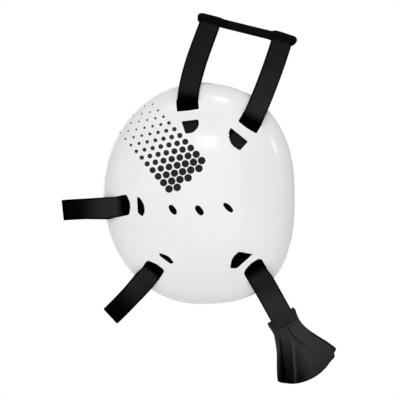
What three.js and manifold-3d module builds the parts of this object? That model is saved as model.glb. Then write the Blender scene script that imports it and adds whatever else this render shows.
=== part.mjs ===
// Wrestling headgear: two domed ear guards held on the head by an open harness of webbing.
// Each guard is a moulded shell with a foam ring inside it. Webbing comes out of five anchors in each
// shell: two straps go over the crown and run through the loops of a crown bar, one goes round the back
// of the head, one round the nape, and one down each cheek to a chin cup.
// Millimetres. +X is the wearer's front, +Y the wearer's left and +Z up. The origin is the middle of the
// crown bar's underside, where the headgear hangs on the head.
import * as THREE from 'three';
import { mergeVertices } from 'three/addons/utils/BufferGeometryUtils.js';
import Module from 'manifold-3d';

const wasm = await Module();
wasm.setup();

// Ear guard shell, seen from the side: half sizes, and how square each corner of its outline is.
const guardHalfLength = 65;
const guardHalfHeight = 75;
const cornerExponent = { frontTop: 2.3, rearTop: 2.0, rearBottom: 2.0, frontBottom: 2.7 };
const domeDepth = 36;
const domeExponent = 2.4;
const shellWall = 3;
// The rim's distance from the middle of the head, and how far the guard's top leans inwards.
const rimOffset = 80;
const guardTilt = THREE.MathUtils.degToRad(6);

// Foam ring inside each shell.
const padProud = 8;
const padSeat = 7;
const padClear = 1.1;
const padOpeningHalfLength = 36;
const padOpeningHalfHeight = 46;
const padCorner = 3;

// Webbing, and the room that it has in the slots of the shell.
const webThick = 1.6;
const topWebWidth = 14.2;
const backWebWidth = 13.4;
const chinWebWidth = 15;
const slotLength = 9;
const slotSideClear = 1.0;
const overClear = 0.8;
const underClear = 1.2;
const tailLength = 6;

// Where each strap comes out of the shell: its place as shares of the guard's half sizes, the way that
// the slot faces and the way that the strap runs on, in degrees from the front towards the top, and the
// bar of shell that it passes under. The slot's side at the bar bows towards it by arch.
const anchors = {
  crownRear: { x: -0.116, z: 0.722, leaves: 97, runs: 95, arch: 0, bar: 7.7 },
  crownFront: { x: 0.507, z: 0.566, leaves: 56, runs: 62, arch: 0.3, bar: 7.6 },
  back: { x: -0.754, z: -0.14, leaves: 188, runs: 188, arch: 1.5, bar: 6.6 },
  nape: { x: -0.453, z: -0.692, leaves: 239, runs: 234, arch: 0.6, bar: 6.0 },
  chin: { x: 0.558, z: -0.693, leaves: -49, runs: -58, arch: 1.2, bar: 5.7 },
};

// The window behind each bar, corner by corner: how far each lies along the bar and behind it, and how
// far from the corner the outline starts to turn round it.
const windows = {
  crownRear: [
    { side: 5.0, behind: 0, round: 0.6 },
    { side: -5.8, behind: 0, round: 0.9 },
    { side: -5.8, behind: 4.6, round: 2.6 },
    { side: -1.4, behind: 8.8, round: 2.6 },
    { side: 3.4, behind: 8.8, round: 0.9 },
  ],
  crownFront: [
    { side: 8.7, behind: -0.5, round: 1.0 },
    { side: -5.6, behind: 0.9, round: 1.0 },
    { side: -4.6, behind: 9.2, round: 1.0 },
    { side: 1.6, behind: 9.2, round: 2.6 },
    { side: 7.6, behind: 4.4, round: 2.6 },
  ],
  back: [
    { side: -3.6, behind: 0.9, round: 0.6 },
    { side: -3.0, behind: 2.5, round: 1.0 },
    { side: 0.8, behind: 4.7, round: 2.0 },
    { side: 6.8, behind: 5.2, round: 2.6 },
    { side: 9.6, behind: 2.5, round: 0.8 },
    { side: 6.6, behind: 0, round: 1.2 },
  ],
  nape: [
    { side: -1.9, behind: 2.4, round: 0.9 },
    { side: 2.0, behind: 3.7, round: 1.8 },
    { side: 6.2, behind: 3.7, round: 2.2 },
    { side: 9.8, behind: 2.0, round: 0.6 },
    { side: 8.2, behind: 0, round: 1.0 },
    { side: -0.7, behind: 0.9, round: 1.0 },
  ],
  chin: [
    { side: -12.2, behind: 2.9, round: 1.0 },
    { side: -7.4, behind: 6.8, round: 2.6 },
    { side: -1.3, behind: 7.4, round: 1.4 },
    { side: 4.8, behind: 0, round: 0.4 },
    { side: -9.0, behind: 0, round: 1.2 },
  ],
};

// Slanting vents over the ear, as shares of the guard's half sizes, with half sizes of their own.
const vents = [
  { x: -0.272, z: -0.196, long: 3.7, wide: 1.6, slant: -56 },
  { x: 0.003, z: -0.203, long: 3.5, wide: 1.9, slant: -55 },
  { x: 0.302, z: -0.177, long: 4.0, wide: 1.7, slant: -44 },
];

// The head that the harness fits. crownForward and crownRise lead from the middle of the guards to the
// origin; breadths are from the middle of the head to the webbing beside it.
const crownForward = 32.6;
const crownRise = 108.4;
const headHalfBreadth = 75;
const headExponent = 2.3;
const headReach = 115;
const backReach = 92;
const backDrop = 11.6;
const backHeading = 186;
const napeBack = 59.7;
const napeDrop = 83.3;
const napeHeading = 223;
const napeHalfBreadth = 62;
const napeReach = 102;
const routeEase = { start: 0.33, end: 0.15 };

// Crown bar: a padded strip that joins the two crown straps, with a loop for one at each end. place is
// how far the middle of a loop is from the middle of the bar, and endWall closes the loop's outer end.
const barSlope = THREE.MathUtils.degToRad(-14);
const barWidth = 20;
const barThick = 5.9;
const loopThick = 6.8;
const loopWall = 1.6;
const loopRoom = 3.6;
const loopSideClear = 0.6;
const loops = {
  rear: { side: -1, place: 26.1, endWall: 0.8 },
  front: { side: 1, place: 24.1, endWall: 2.7 },
};

// Chin cup: its neck, where the cheek strap is sewn on, and the bowl round the chin.
const cupWall = 4;
const neckForward = 55.9;
const neckDrop = 84;
const neckWidth = 20;
const neckAngle = THREE.MathUtils.degToRad(30);
const neckHalfSpan = 51;
const chinForward = 61.8;
const chinDrop = 97;
const chinRadius = 32.6;
const chinArc = { front: -15, rear: -104 };
const neckTurn = THREE.MathUtils.degToRad(30);
const cupWaist = 4;
const cupTaper = 1.2;
const sewnLength = 6;
const sewnClear = 0.9;

// How finely the round forms are cut.
const shellSegments = 56;
const shellRings = 9;
const padSegments = 40;
const cupStations = 22;
const cupStrips = 9;
const longestStep = 7;
const faceProbe = 0.5;
const shoulderStep = 1.5;
const turnStep = 0.005;

const white = new THREE.MeshStandardMaterial({ color: 0xf1f1f0, roughness: 0.25, metalness: 0 });
const webbing = new THREE.MeshStandardMaterial({ color: 0x19191a, roughness: 0.75, metalness: 0 });
const foam = new THREE.MeshStandardMaterial({ color: 0x141415, roughness: 0.9, metalness: 0 });
const rubber = new THREE.MeshStandardMaterial({ color: 0x1d1f20, roughness: 0.5, metalness: 0 });

const degrees = THREE.MathUtils.degToRad;
const heading = (angle) => new THREE.Vector2(Math.cos(angle), Math.sin(angle));
const mirrored = (p) => new THREE.Vector3(p.x, -p.y, p.z);

// Turns a closed geometry into a solid that can be cut.
function solidOf(geometry) {
  const bare = geometry.clone();
  bare.deleteAttribute('normal');
  bare.deleteAttribute('uv');
  const merged = mergeVertices(bare, 1e-4);
  return new wasm.Manifold(new wasm.Mesh({
    numProp: 3,
    vertProperties: new Float32Array(merged.attributes.position.array),
    triVerts: new Uint32Array(merged.index.array),
  }));
}

function geometryOf(solid) {
  const mesh = solid.getMesh();
  const geometry = new THREE.BufferGeometry();
  geometry.setAttribute('position', new THREE.BufferAttribute(mesh.vertProperties, 3));
  geometry.setIndex(new THREE.BufferAttribute(mesh.triVerts, 1));
  return geometry;
}

// Skins a row of sections, each with as many points, into one closed body. A ring of sections joins its
// last section to its first, and otherwise both ends are capped. An open section isn't closed itself.
function loft(sections, { ring = false, open = false } = {}) {
  const count = sections[0].length;
  const corners = sections.flat();
  const at = (row, column) => (row % sections.length) * count + (column % count);
  const faces = [];
  const rows = ring ? sections.length : sections.length - 1;
  const columns = open ? count - 1 : count;
  for (let row = 0; row < rows; row++) {
    for (let column = 0; column < columns; column++) {
      const a = at(row, column);
      const b = at(row, column + 1);
      const c = at(row + 1, column + 1);
      const d = at(row + 1, column);
      faces.push([a, b, c], [a, c, d]);
    }
  }
  if (!ring) {
    for (let i = 1; i + 1 < count; i++) {
      faces.push([at(0, 0), at(0, i + 1), at(0, i)]);
      faces.push([at(rows, 0), at(rows, i), at(rows, i + 1)]);
    }
  }
  const solidFaces = faces.filter(([a, b, c]) => {
    const sides = [[a, b], [b, c], [c, a]];
    return sides.every(([p, q]) => corners[p].distanceTo(corners[q]) > 1e-3);
  });
  const volume = solidFaces.reduce((sum, [a, b, c]) => (
    sum + corners[a].dot(new THREE.Vector3().crossVectors(corners[b], corners[c]))
  ), 0);
  const index = solidFaces.flatMap(([a, b, c]) => (volume > 0 ? [a, b, c] : [a, c, b]));
  const geometry = new THREE.BufferGeometry().setFromPoints(corners);
  geometry.setIndex(index);
  return mergeVertices(geometry, 1e-3);
}

// The guard's outline: how far it is from the middle in a direction, less an inset.
function outlineRadius(angle) {
  const c = Math.cos(angle);
  const s = Math.sin(angle);
  const top = s >= 0 ? 'Top' : 'Bottom';
  const n = cornerExponent[(c >= 0 ? 'front' : 'rear') + top];
  const sum = Math.abs(c / guardHalfLength) ** n + Math.abs(s / guardHalfHeight) ** n;
  return sum ** (-1 / n);
}

// The shell's outer face in the guard's own frame, where Y is the height over the rim. climb runs from
// 0 at the rim to a quarter turn at the top of the dome.
function domePoint(angle, climb) {
  const share = Math.max(Math.cos(climb), 0) ** (2 / domeExponent);
  const height = domeDepth * Math.max(Math.sin(climb), 0) ** (2 / domeExponent);
  const radius = outlineRadius(angle) * share;
  return new THREE.Vector3(radius * Math.cos(angle), height, radius * Math.sin(angle));
}

function domeNormal(angle, climb) {
  const step = 0.01;
  const low = Math.max(climb - step, 0);
  const up = domePoint(angle, Math.min(climb + step, Math.PI / 2)).sub(domePoint(angle, low));
  const round = domePoint(angle + step, climb).sub(domePoint(angle - step, climb));
  if (round.length() < 1e-6) return new THREE.Vector3(0, 1, 0);
  const normal = new THREE.Vector3().crossVectors(up, round).normalize();
  if (climb === 0) normal.setY(0).normalize();
  return normal;
}

// Height of the outer face over a place on the guard, and zero outside the outline.
function domeHeight(x, z) {
  const share = Math.hypot(x, z) / outlineRadius(Math.atan2(z, x));
  return share < 1 ? domeDepth * (1 - share ** domeExponent) ** (1 / domeExponent) : 0;
}

// The guard's own frame in the head's frame, for the wearer's left side.
function fromGuard(x, height, z) {
  const turned = new THREE.Vector3(x, height, z).applyAxisAngle(new THREE.Vector3(1, 0, 0), guardTilt);
  return turned.add(new THREE.Vector3(0, rimOffset, 0));
}

// The outer face over a place on the guard: its height, and how squarely it faces out of the guard.
function domeFace(x, z) {
  const slopeX = (domeHeight(x + faceProbe, z) - domeHeight(x - faceProbe, z)) / (2 * faceProbe);
  const slopeZ = (domeHeight(x, z + faceProbe) - domeHeight(x, z - faceProbe)) / (2 * faceProbe);
  return { height: domeHeight(x, z), facing: Math.max(1 / Math.hypot(1, slopeX, slopeZ), 0.3) };
}

// The outer face of the left guard beside a place seen from the side, as a distance from the middle of
// the head.
function guardFace(x, z) {
  let local = z;
  for (let round = 0; round < 12; round++) {
    local = (z - domeHeight(x, local) * Math.sin(guardTilt)) / Math.cos(guardTilt);
  }
  const face = domeFace(x, local);
  return { ...face, y: fromGuard(x, face.height, local).y };
}

// Places across the whole width of a strap whose middle is at a place and which runs along way.
function placesAcross(place, way, width) {
  return [-0.5, -0.33, -0.17, 0, 0.17, 0.33, 0.5].map((share) => (
    new THREE.Vector2(place.x - way.y * share * width, place.y + way.x * share * width)
  ));
}

// A flat shape of the guard's frame, drawn with X and Z, made into a cutter through the shell.
function cutter(points) {
  const shape = new THREE.Shape(points.map((p) => new THREE.Vector2(p.x, -p.y)));
  const through = new THREE.ExtrudeGeometry(shape, { depth: domeDepth * 2, bevelEnabled: false });
  through.translate(0, 0, -domeDepth / 2);
  through.rotateX(-Math.PI / 2);
  return solidOf(through);
}

// Where a strap leaves the shell, in the guard's frame: the edge of the bar, and the ways out and across.
function anchorFrame(anchor) {
  const out = heading(degrees(anchor.leaves));
  return {
    edge: new THREE.Vector2(anchor.x * guardHalfLength, anchor.z * guardHalfHeight),
    out,
    across: new THREE.Vector2(-out.y, out.x),
  };
}

function slotShape(anchor, webWidth) {
  const { edge, out, across } = anchorFrame(anchor);
  const half = webWidth / 2 + slotSideClear;
  const skew = slotLength * Math.tan(degrees(anchor.runs - anchor.leaves));
  const bowed = [1, 0.5, 0, -0.5, -1].map((share) => [-anchor.arch * (1 - share ** 2), share * half]);
  const corners = [[slotLength, skew - half], [slotLength, skew + half], ...bowed];
  return corners.map(([along, side]) => (
    edge.clone().addScaledVector(out, along).addScaledVector(across, side)
  ));
}

// An outline through corners that are rounded, as a quadratic curve in two steps round each.
function roundedOutline(corners) {
  return corners.flatMap(({ place, round }, i) => {
    const before = corners[(i + corners.length - 1) % corners.length].place;
    const after = corners[(i + 1) % corners.length].place;
    const start = place.clone().lerp(before, Math.min(round / place.distanceTo(before), 0.5));
    const end = place.clone().lerp(after, Math.min(round / place.distanceTo(after), 0.5));
    const middle = place.clone().lerp(start.clone().lerp(end, 0.5), 0.5);
    return [start, middle, end];
  });
}

function windowShape(name) {
  const { edge, out, across } = anchorFrame(anchors[name]);
  return roundedOutline(windows[name].map(({ side, behind, round }) => ({
    place: edge.clone().addScaledVector(out, -anchors[name].bar - behind).addScaledVector(across, side),
    round,
  })));
}

function ventShape(vent) {
  const sides = 12;
  const along = heading(degrees(vent.slant));
  const across = new THREE.Vector2(-along.y, along.x);
  return Array.from({ length: sides }, (_, i) => {
    const turn = i / sides * 2 * Math.PI;
    return new THREE.Vector2(vent.x * guardHalfLength, vent.z * guardHalfHeight)
      .addScaledVector(along, vent.long * Math.cos(turn))
      .addScaledVector(across, vent.wide * Math.sin(turn));
  });
}

const strapWidths = {
  crownRear: topWebWidth,
  crownFront: topWebWidth,
  back: backWebWidth,
  nape: backWebWidth,
  chin: chinWebWidth,
};

// One moulded dome of even wall, open towards the head, with its slots, windows and vents cut through.
function earShell() {
  const sections = [];
  for (let i = 0; i < shellSegments; i++) {
    const angle = i / shellSegments * 2 * Math.PI;
    const outer = [];
    const inner = [];
    for (let ring = shellRings; ring >= 0; ring--) {
      const climb = ring / shellRings * Math.PI / 2;
      const point = domePoint(angle, climb);
      outer.push(point);
      inner.unshift(point.clone().addScaledVector(domeNormal(angle, climb), -shellWall));
    }
    sections.push([...outer, ...inner]);
  }
  let shell = solidOf(loft(sections, { ring: true, open: true }));
  for (const [name, anchor] of Object.entries(anchors)) {
    shell = shell.subtract(cutter(slotShape(anchor, strapWidths[name])));
    shell = shell.subtract(cutter(windowShape(name)));
  }
  for (const vent of vents) shell = shell.subtract(cutter(ventShape(vent)));
  return geometryOf(shell);
}

// The foam ring: a round-cornered section carried round the inside of the rim.
function earPad() {
  const cornerSteps = 2;
  const sections = [];
  for (let i = 0; i < padSegments; i++) {
    const angle = i / padSegments * 2 * Math.PI;
    const outer = outlineRadius(angle) - shellWall - padClear;
    const c = Math.abs(Math.cos(angle) / padOpeningHalfLength);
    const s = Math.abs(Math.sin(angle) / padOpeningHalfHeight);
    const inner = Math.hypot(c, s) ** -1;
    const corners = [
      { radius: outer, height: -padProud, from: 270 },
      { radius: outer, height: padSeat, from: 0 },
      { radius: inner, height: padSeat, from: 90 },
      { radius: inner, height: -padProud, from: 180 },
    ];
    const section = corners.flatMap((corner) => {
      const inwards = corner.radius === outer ? -1 : 1;
      const towards = corner.height > 0 ? -1 : 1;
      return Array.from({ length: cornerSteps + 1 }, (_, step) => {
        const turn = degrees(corner.from + 90 * step / cornerSteps);
        const radius = corner.radius + padCorner * (inwards + Math.cos(turn));
        const height = corner.height + padCorner * (towards + Math.sin(turn));
        return new THREE.Vector3(radius * Math.cos(angle), height, radius * Math.sin(angle));
      });
    });
    sections.push(section);
  }
  return loft(sections, { ring: true });
}

// The line that a strap follows seen from the side, eased out of its slot and into its last heading.
function sideRoute(start, anchor, end, endHeading) {
  const from = new THREE.Vector2(start.x, start.z);
  const span = from.distanceTo(end);
  const curve = new THREE.CubicBezierCurve(
    from,
    from.clone().addScaledVector(heading(degrees(anchor.runs)), span * routeEase.start),
    end.clone().addScaledVector(endHeading, -span * routeEase.end),
    end,
  );
  return { from, out: anchorFrame(anchor).out, curve, length: curve.getLength() };
}

// A strap under tension touches only what stands proud: the upper hull of the points, in their order.
function pulledTight(points) {
  const kept = [];
  for (const point of points) {
    while (kept.length > 1) {
      const [a, b] = kept.slice(-2);
      const turn = (b.s - a.s) * (point.y - a.y) - (b.y - a.y) * (point.s - a.s);
      if (turn < 0) break;
      kept.pop();
    }
    kept.push(point);
  }
  return kept;
}

// Centre points of the stretch that lies inside the shell, from the tail's end to the bar's edge.
function tailPoints(name, width) {
  const anchor = anchors[name];
  const { edge, out } = anchorFrame(anchor);
  const depth = Math.max(...windows[name].map((corner) => corner.behind));
  const stations = [
    anchor.bar + depth + tailLength,
    anchor.bar + depth + tailLength / 2,
    anchor.bar + depth / 2,
    anchor.bar,
    anchor.bar / 2,
    0,
  ];
  const under = shellWall + underClear + webThick / 2;
  return stations.map((back) => {
    const place = edge.clone().addScaledVector(out, -back);
    const limits = placesAcross(place, out, width).map((p) => {
      const face = domeFace(p.x, p.y);
      return face.height - under / face.facing;
    });
    return fromGuard(place.x, Math.min(...limits), place.y);
  });
}

// Points that a strap may touch on its way over the shell, from the slot's far lip to the rim.
function shoulderPoints(route, width) {
  const found = [];
  const over = overClear + webThick / 2;
  for (let s = slotLength; s < route.length; s += shoulderStep) {
    const place = route.curve.getPointAt(s / route.length);
    const way = route.curve.getTangentAt(s / route.length);
    const faces = placesAcross(place, way, width).map((p) => guardFace(p.x, p.y));
    const limits = faces.filter((face) => face.height > 0).map((face) => face.y + over / face.facing);
    if (limits.length) found.push({ s, y: Math.max(...limits) });
  }
  return found;
}

// Points of a round head beside the route: halfBreadth out at its widest, and reach away from there to
// the middle line, where the route ends.
function headPoints(route, halfBreadth, reach) {
  const steps = 24;
  const found = [];
  for (let i = 0; i <= steps; i++) {
    const turn = i / steps * Math.PI / 2;
    const share = Math.sin(turn) ** (2 / headExponent);
    const s = route.length - (1 - share) * reach;
    const y = halfBreadth * Math.max(Math.cos(turn), 0) ** (2 / headExponent);
    if (s > slotLength) found.push({ s, y: i === steps ? 0 : y });
  }
  return found;
}

// A point on the route in the head's frame, at a distance from the middle.
function onRoute(route, { s, y }) {
  const place = route.curve.getPointAt(Math.min(Math.max(s / route.length, 0), 1));
  return new THREE.Vector3(place.x, y, place.y);
}

// The points after the first of a tight line, on the route, with more of them in its long steps.
function alongRoute(route, tight) {
  const found = [];
  for (let i = 1; i < tight.length; i++) {
    const before = tight[i - 1];
    const here = tight[i];
    const cuts = Math.ceil(Math.hypot(here.s - before.s, here.y - before.y) / longestStep);
    for (let k = 1; k <= cuts; k++) {
      const share = k / cuts;
      found.push(onRoute(route, {
        s: THREE.MathUtils.lerp(before.s, here.s, share),
        y: THREE.MathUtils.lerp(before.y, here.y, share),
      }));
    }
  }
  return found;
}

// Flat webbing along a line of points. Its width stays across the line, square to the outward side.
function web(points, width, acrossAt) {
  const sections = points.map((point, i) => {
    const before = points[Math.max(i - 1, 0)];
    const after = points[Math.min(i + 1, points.length - 1)];
    const along = after.clone().sub(before).normalize();
    const across = acrossAt(point, i);
    const out = new THREE.Vector3().crossVectors(along, across).normalize();
    across.crossVectors(out, along).normalize();
    const corners = [[-1, -1], [1, -1], [1, 1], [-1, 1]];
    return corners.map(([side, face]) => (
      point.clone()
        .addScaledVector(across, side * width / 2)
        .addScaledVector(out, face * webThick / 2)
    ));
  });
  return loft(sections);
}

// The direction across a strap at a point, from the heading of its route nearest to that point.
function acrossRoute(route) {
  const steps = 60;
  const line = route.curve.getSpacedPoints(steps);
  return (point) => {
    const place = new THREE.Vector2(point.x, point.z);
    const inside = place.clone().sub(route.from).dot(route.out) < 0;
    let nearest = 0;
    line.forEach((p, i) => {
      if (p.distanceTo(place) < line[nearest].distanceTo(place)) nearest = i;
    });
    const way = inside ? route.out : route.curve.getTangentAt(nearest / steps);
    return new THREE.Vector3(-way.y, 0, way.x);
  };
}

// A strap from one guard to the other, across the middle of the head at end.
function crossingStrap(name, end, endHeading, halfBreadth, reach) {
  const width = strapWidths[name];
  const tail = tailPoints(name, width);
  const inner = tail[tail.length - 1];
  const route = sideRoute(inner, anchors[name], end, endHeading);
  const start = { s: 0, y: inner.y };
  const touched = [...shoulderPoints(route, width), ...headPoints(route, halfBreadth, reach)];
  touched.sort((a, b) => a.s - b.s);
  const half = [...tail, ...alongRoute(route, pulledTight([start, ...touched]))];
  const other = half.slice(0, -1).reverse().map(mirrored);
  return web([...half, ...other], width, acrossRoute(route));
}

// The crown bar's frame: X along it, Z out of the head, with the origin in the middle of its underside.
const barAlong = heading(barSlope);
const barOut = new THREE.Vector2(-barAlong.y, barAlong.x);
const barFoot = new THREE.Vector2(crownForward, crownRise);

function onBar(along, out) {
  return barFoot.clone().addScaledVector(barAlong, along).addScaledVector(barOut, out);
}

// The bar, drawn from the side and as wide as it is across the head, with a loop cut through each end.
function crownBar() {
  const round = loopThick / 2;
  const room = topWebWidth / 2 + loopSideClear;
  const endSteps = 6;
  const halfOutline = ({ side, place, endWall }) => {
    const half = place + room + endWall;
    const loopInner = place - room - loopWall;
    const roundEnd = Array.from({ length: endSteps + 1 }, (_, i) => {
      const turn = (i / endSteps - 0.5) * Math.PI;
      return new THREE.Vector2(half - round + round * Math.cos(turn), round + round * Math.sin(turn));
    });
    return [
      ...roundEnd,
      new THREE.Vector2(loopInner + loopWall, loopThick),
      new THREE.Vector2(loopInner - loopWall, barThick),
    ].map((p) => new THREE.Vector2(side * p.x, p.y));
  };
  const shape = new THREE.Shape([...halfOutline(loops.front), ...halfOutline(loops.rear).reverse()]);
  const strip = new THREE.ExtrudeGeometry(shape, { depth: barWidth, bevelEnabled: false });
  strip.translate(0, 0, -barWidth / 2);
  strip.rotateX(Math.PI / 2);
  let bar = solidOf(strip);
  for (const { side, place } of Object.values(loops)) {
    const passage = new THREE.BoxGeometry(2 * room, barWidth * 2, loopRoom);
    passage.translate(side * place, 0, loopThick / 2);
    bar = bar.subtract(solidOf(passage));
  }
  return geometryOf(bar);
}

// The chin cup's outer face, for the left half. strip runs from the front edge, 0, to the rear, 1, and
// turn from neckTurn at the neck to a quarter turn at the middle of the chin.
function cupPoint(strip, turn) {
  const across = heading(neckAngle);
  const neck = new THREE.Vector2(neckForward, -neckDrop)
    .addScaledVector(across, (0.5 - strip) * neckWidth);
  const arc = degrees(THREE.MathUtils.lerp(chinArc.front, chinArc.rear, strip));
  const chin = new THREE.Vector2(chinForward, -chinDrop).addScaledVector(heading(arc), chinRadius);
  const down = (Math.sin(turn) - Math.sin(neckTurn)) / (1 - Math.sin(neckTurn));
  const pinch = down * (1 - down) ** 2 / (1 / 3 * (2 / 3) ** 2);
  const place = neck.clone().lerp(chin, down)
    .addScaledVector(across, (strip - 0.5) * 2 * cupWaist * pinch);
  const y = neckHalfSpan * Math.max(Math.cos(turn) / Math.cos(neckTurn), 0) ** cupTaper;
  return new THREE.Vector3(place.x, y, place.y);
}

function cupNormal(strip, turn) {
  const step = 0.02;
  const down = cupPoint(strip, turn + step).sub(cupPoint(strip, turn - step));
  const back = cupPoint(strip + step, turn).sub(cupPoint(strip - step, turn));
  return new THREE.Vector3().crossVectors(down, back).normalize();
}

// The cup's wall seen as one section after another, from the left neck under the chin to the right one.
function chinCup() {
  const half = [];
  for (let i = 0; i <= cupStations / 2; i++) {
    const turn = THREE.MathUtils.lerp(neckTurn, Math.PI / 2, i / (cupStations / 2));
    const outer = [];
    const inner = [];
    for (let k = 0; k <= cupStrips; k++) {
      const strip = k / cupStrips;
      const point = cupPoint(strip, turn);
      const within = point.clone().addScaledVector(cupNormal(strip, turn), -cupWall);
      if (i === cupStations / 2) within.setY(0);
      outer.push(point);
      inner.unshift(within);
    }
    half.push([...outer, ...inner]);
  }
  const other = half.slice(0, -1).reverse().map((section) => section.map(mirrored));
  return loft([...half, ...other]);
}

// The cheek strap: out of the shell, straight to the cup's neck, and sewn down on its outer face.
function chinStrap() {
  const over = sewnClear + webThick / 2;
  const sewnAt = (turn) => cupPoint(0.5, turn).addScaledVector(cupNormal(0.5, turn), over);
  let lastTurn = neckTurn;
  while (sewnAt(lastTurn).distanceTo(sewnAt(neckTurn)) < sewnLength) lastTurn += turnStep;
  const seam = [0, 0.5, 1].map((share) => sewnAt(THREE.MathUtils.lerp(neckTurn, lastTurn, share)));
  const tail = tailPoints('chin', chinWebWidth);
  const inner = tail[tail.length - 1];
  const end = new THREE.Vector2(seam[0].x, seam[0].z);
  const neckHeading = heading(neckAngle - Math.PI / 2);
  const route = sideRoute(inner, anchors.chin, end, neckHeading);
  const start = { s: 0, y: inner.y };
  const goal = { s: route.length, y: seam[0].y };
  const touched = shoulderPoints(route, chinWebWidth).filter((p) => p.s < route.length);
  const free = [...tail, ...alongRoute(route, pulledTight([start, ...touched, goal]))];
  const routeAcross = acrossRoute(route);
  const neckAcross = new THREE.Vector3(Math.cos(neckAngle), 0, Math.sin(neckAngle));
  return web([...free, ...seam.slice(1)], chinWebWidth, (point, i) => (
    i < free.length - 1 ? routeAcross(point) : neckAcross.clone()
  ));
}

function node(name, geometry, material) {
  const mesh = new THREE.Mesh(geometry, material);
  mesh.name = name;
  return mesh;
}

const headgear = new THREE.Group();
headgear.position.set(-crownForward, 0, -crownRise);

for (const side of ['left', 'right']) {
  const half = new THREE.Group();
  if (side === 'right') half.scale.y = -1;
  const guard = new THREE.Group();
  guard.position.y = rimOffset;
  guard.rotation.x = guardTilt;
  guard.add(node(`ear_shell_${side}`, earShell(), white));
  guard.add(node(`ear_pad_${side}`, earPad(), foam));
  half.add(guard, node(`chin_strap_${side}`, chinStrap(), webbing));
  headgear.add(half);
}

for (const [name, anchorName, { side, place }] of [
  ['crown_strap_front', 'crownFront', loops.front],
  ['crown_strap_rear', 'crownRear', loops.rear],
]) {
  const middle = onBar(side * place, loopThick / 2);
  const strap = crossingStrap(anchorName, middle, barOut, headHalfBreadth, headReach);
  headgear.add(node(name, strap, webbing));
}

const bar = node('crown_bar', crownBar(), webbing);
bar.position.set(crownForward, 0, crownRise);
bar.rotation.y = -barSlope;
headgear.add(bar);

const backMiddle = new THREE.Vector2(-backReach, -backDrop);
const backStrap = crossingStrap(
  'back', backMiddle, heading(degrees(backHeading)), headHalfBreadth, backReach,
);
headgear.add(node('back_strap', backStrap, webbing));

const napeMiddle = new THREE.Vector2(-napeBack, -napeDrop);
const napeStrap = crossingStrap(
  'nape', napeMiddle, heading(degrees(napeHeading)), napeHalfBreadth, napeReach,
);
headgear.add(node('nape_strap', napeStrap, webbing));
headgear.add(node('chin_cup', chinCup(), rubber));

const part = new THREE.Group();
part.add(headgear);
export default part;
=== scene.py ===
# Wrestling headgear: two glossy white ear guards with black foam inside, joined by black webbing over the
# crown, behind the head and round the nape, with a crown bar on top and a moulded chin cup below.
# It hangs as it does on a head. Everything is in metres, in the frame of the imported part.
import math

import bmesh
import bpy
from mathutils import Matrix, Vector


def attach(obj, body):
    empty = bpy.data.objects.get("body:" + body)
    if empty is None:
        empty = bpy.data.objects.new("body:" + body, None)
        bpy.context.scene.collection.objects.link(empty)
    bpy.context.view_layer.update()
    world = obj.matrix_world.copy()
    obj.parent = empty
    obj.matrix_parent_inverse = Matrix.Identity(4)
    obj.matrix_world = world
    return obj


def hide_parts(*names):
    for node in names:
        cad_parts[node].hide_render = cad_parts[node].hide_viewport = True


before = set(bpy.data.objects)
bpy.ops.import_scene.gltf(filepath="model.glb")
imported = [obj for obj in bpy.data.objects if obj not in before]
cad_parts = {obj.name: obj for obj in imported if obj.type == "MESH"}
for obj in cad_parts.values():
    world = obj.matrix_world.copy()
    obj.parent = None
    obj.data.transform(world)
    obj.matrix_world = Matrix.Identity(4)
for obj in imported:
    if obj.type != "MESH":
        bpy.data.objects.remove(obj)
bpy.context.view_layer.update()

# The studio. A very long lens far off to the wearer's right keeps the side view square, as in the
# photograph. Broad soft lights stand on both sides, four small ones make the highlights, and a pale
# floor lies well below the part.

# The frame's side and the part's origin in it, in pixels, and how large a pixel is.
frame_side = 400
origin_column = 247
origin_row = 34
pixel = 0.00068
lens = 1500.0
sensor = 36.0
view_centre = Vector((
    (frame_side / 2 - origin_column) * pixel, 0.0, (origin_row - frame_side / 2) * pixel,
))
camera_distance = frame_side * pixel * lens / sensor

scene = bpy.context.scene
scene.view_settings.view_transform = "Standard"
scene.view_settings.look = "None"

camera_data = bpy.data.cameras.new("camera")
camera_data.lens = lens
camera_data.sensor_width = sensor
camera_data.clip_start = 0.1
camera_data.clip_end = 200.0
camera = bpy.data.objects.new("camera", camera_data)
camera.location = view_centre + Vector((0.0, -camera_distance, 0.0))
camera.rotation_euler = (math.pi / 2, 0.0, 0.0)
scene.collection.objects.link(camera)
scene.camera = camera


class Wire:
    """One output in a node tree. Arithmetic on it adds Math nodes, and node() adds any other."""

    def __init__(self, tree, socket=None):
        self.tree = tree
        self.socket = socket

    def node(self, kind, settings=None, inputs=None, output=0):
        made = self.tree.nodes.new("ShaderNode" + kind)
        for name, value in (settings or {}).items():
            setattr(made, name, value)
        for key, value in (inputs or {}).items():
            if isinstance(value, Wire):
                self.tree.links.new(value.socket, made.inputs[key])
            else:
                made.inputs[key].default_value = value
        return Wire(self.tree, made.outputs[output])

    def maths(self, operation, *values):
        return self.node("Math", {"operation": operation}, dict(enumerate(values)))

    def feed(self, socket):
        self.tree.links.new(self.socket, socket)

    def __add__(self, other):
        return self.maths("ADD", self, other)

    __radd__ = __add__

    def __sub__(self, other):
        return self.maths("SUBTRACT", self, other)

    def __rsub__(self, other):
        return self.maths("SUBTRACT", other, self)

    def __mul__(self, other):
        return self.maths("MULTIPLY", self, other)

    __rmul__ = __mul__

    def __truediv__(self, other):
        return self.maths("DIVIDE", self, other)


def ease(value, low, high, start=0.0, end=1.0):
    """A soft step from start, at low, to end, at high."""
    return value.node(
        "MapRange",
        {"interpolation_type": "SMOOTHSTEP"},
        {0: value, 1: low, 2: high, 3: start, 4: end},
    )


def mixed(factor, first, second):
    """A colour between two, which are the Mix node's sockets 6 and 7."""
    return factor.node(
        "Mix", {"data_type": "RGBA"}, {0: factor, 6: first, 7: second}, output=2
    )


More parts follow.
